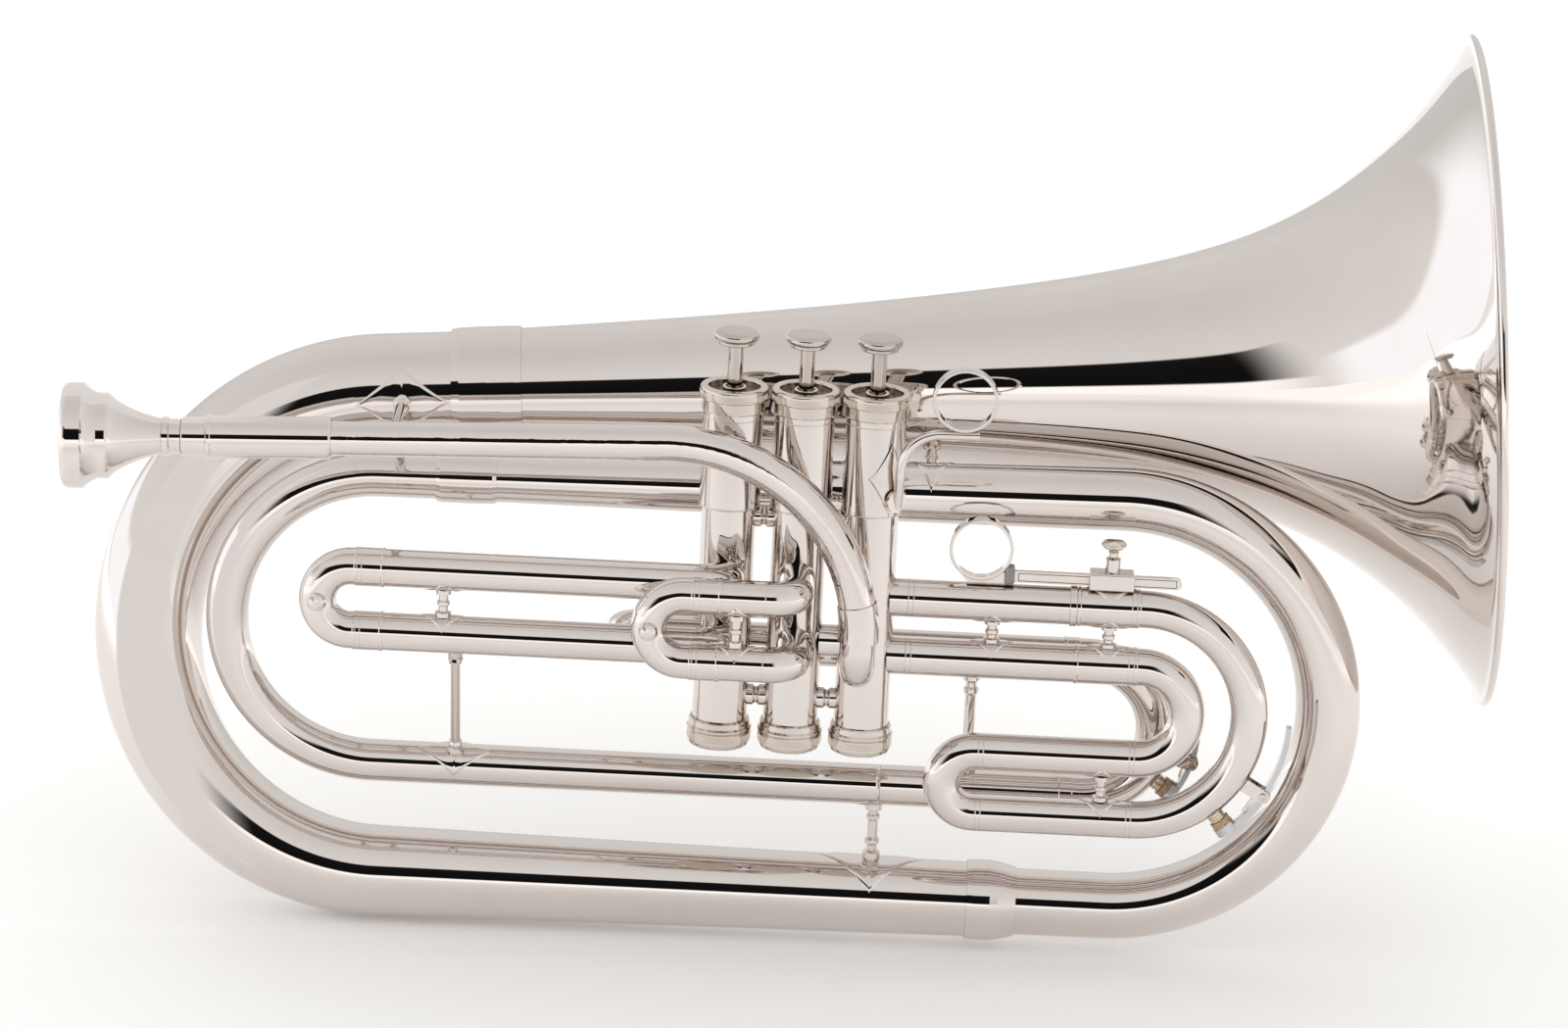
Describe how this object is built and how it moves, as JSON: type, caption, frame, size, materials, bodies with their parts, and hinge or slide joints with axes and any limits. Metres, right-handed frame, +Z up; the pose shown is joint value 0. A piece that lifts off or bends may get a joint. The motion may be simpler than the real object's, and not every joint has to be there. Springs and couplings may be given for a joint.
{
  "type": "marching baritone horn",
  "caption": "Bell-front valved brass horn with piston valves, pull-out tuning slides, finger rings, spit keys and a removable cup mouthpiece.",
  "frame": {"origin": "on the second valve's axis at half the height of its casing, where the hands carry the horn", "axes": "+X along the horn towards the bell, +Y away from the side with the leadpipe, +Z up the valve axes towards the finger buttons"},
  "size_m": [0.5469, 0.2601, 0.3548],
  "materials": {
    "silver_plate": "polished silver plate over brass",
    "nickel_plate": "polished nickel plate",
    "piston_monel": "honed nickel alloy",
    "spring_wire": "drawn wire",
    "guide_nylon": "moulded nylon",
    "key_cork": "cut cork"
  },
  "bodies": {
    "horn": {"bell": "silver_plate", "bell_ferrule": "silver_plate", "bottom_valve_caps": "silver_plate", "casing_links": "silver_plate", "first_slide_sleeves": "silver_plate", "inner_branch": "silver_plate", "inner_ferrule": "silver_plate", "leadpipe": "silver_plate", "leadpipe_brace": "silver_plate", "leadpipe_ferrule": "silver_plate", "leadpipe_knuckle": "silver_plate", "little_finger_hook": "silver_plate", "loop_posts": "silver_plate", "mouthpiece_receiver": "silver_plate", "outer_branch": "silver_plate", "outer_ferrule": "silver_plate", "second_slide_sleeves": "silver_plate", "slide_braces": "silver_plate", "slide_knuckles": "silver_plate", "third_slide_sleeves": "silver_plate", "top_valve_caps": "silver_plate", "tuning_slide_sleeves": "silver_plate", "upper_branch": "silver_plate", "valve_casing_1": "silver_plate", "valve_casing_2": "silver_plate", "valve_casing_3": "silver_plate", "valve_crossovers": "silver_plate", "valve_exit_elbow": "silver_plate", "valve_guides": "guide_nylon"},
    "valve_1": {"piston_1": "piston_monel", "valve_stem_1": "nickel_plate", "finger_button_1": "nickel_plate", "valve_spring_1": "spring_wire"},
    "valve_2": {"piston_2": "piston_monel", "valve_stem_2": "nickel_plate", "finger_button_2": "nickel_plate", "valve_spring_2": "spring_wire"},
    "valve_3": {"piston_3": "piston_monel", "valve_stem_3": "nickel_plate", "finger_button_3": "nickel_plate", "valve_spring_3": "spring_wire"},
    "mouthpiece": {"mouthpiece": "silver_plate"},
    "first_slide": {"first_slide_bow": "silver_plate", "first_slide_legs": "silver_plate"},
    "second_slide": {"second_slide_bow": "silver_plate", "second_slide_legs": "silver_plate"},
    "third_slide": {"third_slide_bow": "silver_plate", "third_slide_legs": "silver_plate", "third_slide_braces": "silver_plate", "ring_clamp_block": "silver_plate", "third_key_saddle": "silver_plate"},
    "tuning_slide": {"tuning_slide_bow": "silver_plate", "tuning_slide_legs": "silver_plate", "tuning_key_saddle": "silver_plate"},
    "finger_ring": {"finger_ring": "silver_plate"},
    "thumb_screw": {"thumb_screw": "nickel_plate"},
    "third_water_key": {"third_water_key": "silver_plate", "third_key_cork": "key_cork"},
    "tuning_water_key": {"tuning_water_key": "silver_plate", "tuning_key_cork": "key_cork"}
  },
  "joints": [
    {"name": "valve_1_press", "type": "slide", "parent": "horn", "child": "valve_1", "axis": [0, 0, -1], "range_m": [0, 0.014], "stiffness_N_per_m": 260, "springref_m": -0.016, "deforming": ["valve_spring_1"]},
    {"name": "valve_2_press", "type": "slide", "parent": "horn", "child": "valve_2", "axis": [0, 0, -1], "range_m": [0, 0.014], "stiffness_N_per_m": 260, "springref_m": -0.016, "deforming": ["valve_spring_2"]},
    {"name": "valve_3_press", "type": "slide", "parent": "horn", "child": "valve_3", "axis": [0, 0, -1], "range_m": [0, 0.014], "stiffness_N_per_m": 260, "springref_m": -0.016, "deforming": ["valve_spring_3"]},
    {"name": "mouthpiece_pull", "type": "slide", "parent": "horn", "child": "mouthpiece", "axis": [-0.9993, 0, -0.0366], "range_m": [0, 0.06]},
    {"name": "first_slide_pull", "type": "slide", "parent": "horn", "child": "first_slide", "axis": [-1, 0, 0], "range_m": [0, 0.05]},
    {"name": "second_slide_pull", "type": "slide", "parent": "horn", "child": "second_slide", "axis": [-1, 0, 0], "range_m": [0, 0.011]},
    {"name": "third_slide_pull", "type": "slide", "parent": "horn", "child": "third_slide", "axis": [1, 0, 0], "range_m": [0, 0.03]},
    {"name": "tuning_slide_pull", "type": "slide", "parent": "horn", "child": "tuning_slide", "axis": [1, 0, 0], "range_m": [0, 0.022]},
    {"name": "ring_adjust", "type": "slide", "parent": "third_slide", "child": "finger_ring", "axis": [1, 0, 0], "range_m": [-0.012, 0.012]},
    {"name": "thumb_screw_turn", "type": "hinge", "parent": "third_slide", "child": "thumb_screw", "pos_m": [0.1195, 0, 0.01], "axis": [0, 0, 1], "range_deg": [0, 360]},
    {"name": "third_water_key_press", "type": "hinge", "parent": "third_slide", "child": "third_water_key", "pos_m": [0.18209, 0, -0.0836], "axis": [0, -1, 0], "range_deg": [0, 10], "stiffness_Nm_per_rad": 0.03, "springref_deg": -20.05},
    {"name": "tuning_water_key_press", "type": "hinge", "parent": "tuning_slide", "child": "tuning_water_key", "pos_m": [0.15517, 0.024, -0.07976], "axis": [0, -1, 0], "range_deg": [0, 10], "stiffness_Nm_per_rad": 0.03, "springref_deg": -20.05}
  ]
}
